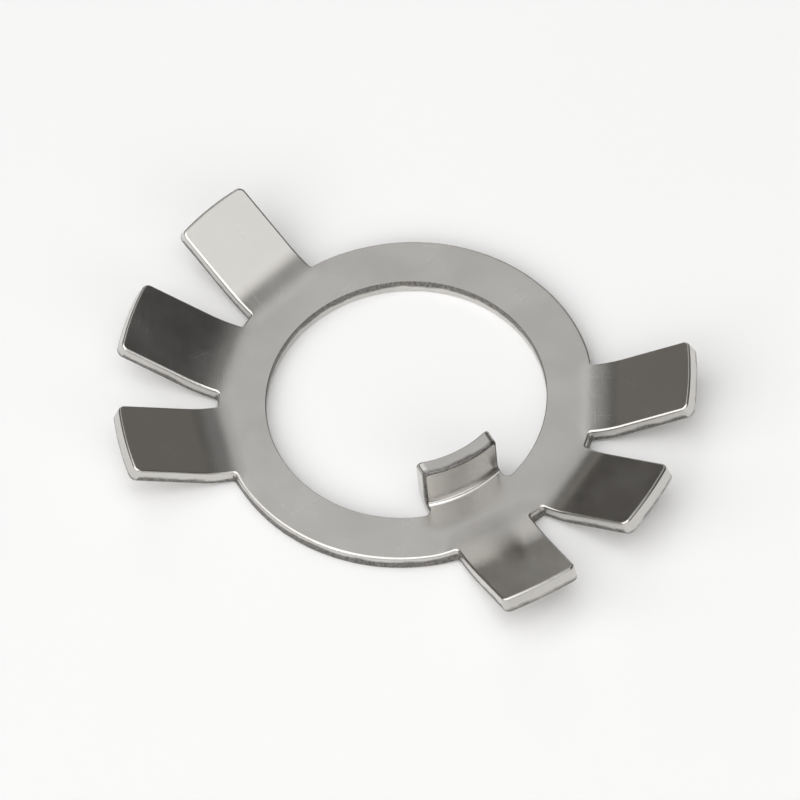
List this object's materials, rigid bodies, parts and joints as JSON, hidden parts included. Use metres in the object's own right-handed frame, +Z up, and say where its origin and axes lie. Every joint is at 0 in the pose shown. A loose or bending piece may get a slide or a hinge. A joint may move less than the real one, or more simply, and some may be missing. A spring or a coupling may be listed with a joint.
{
  "type": "tab lock washer",
  "caption": "Stamped steel tab lock washer for a slotted round nut: flat ring, outer tabs bent up to lock the nut, upright inner tab for the slot in the shaft.",
  "frame": {"origin": "on the bore axis, in the plane of the flat underside the washer rests on", "axes": "+Z up along the bore, towards the side the tabs are bent to; +X from the axis towards the inner tab"},
  "size_m": [0.0341, 0.0328, 0.004],
  "materials": {
    "steel": "satin, tumbled stainless steel"
  },
  "bodies": {
    "root": {"washer": "steel"}
  },
  "joints": []
}
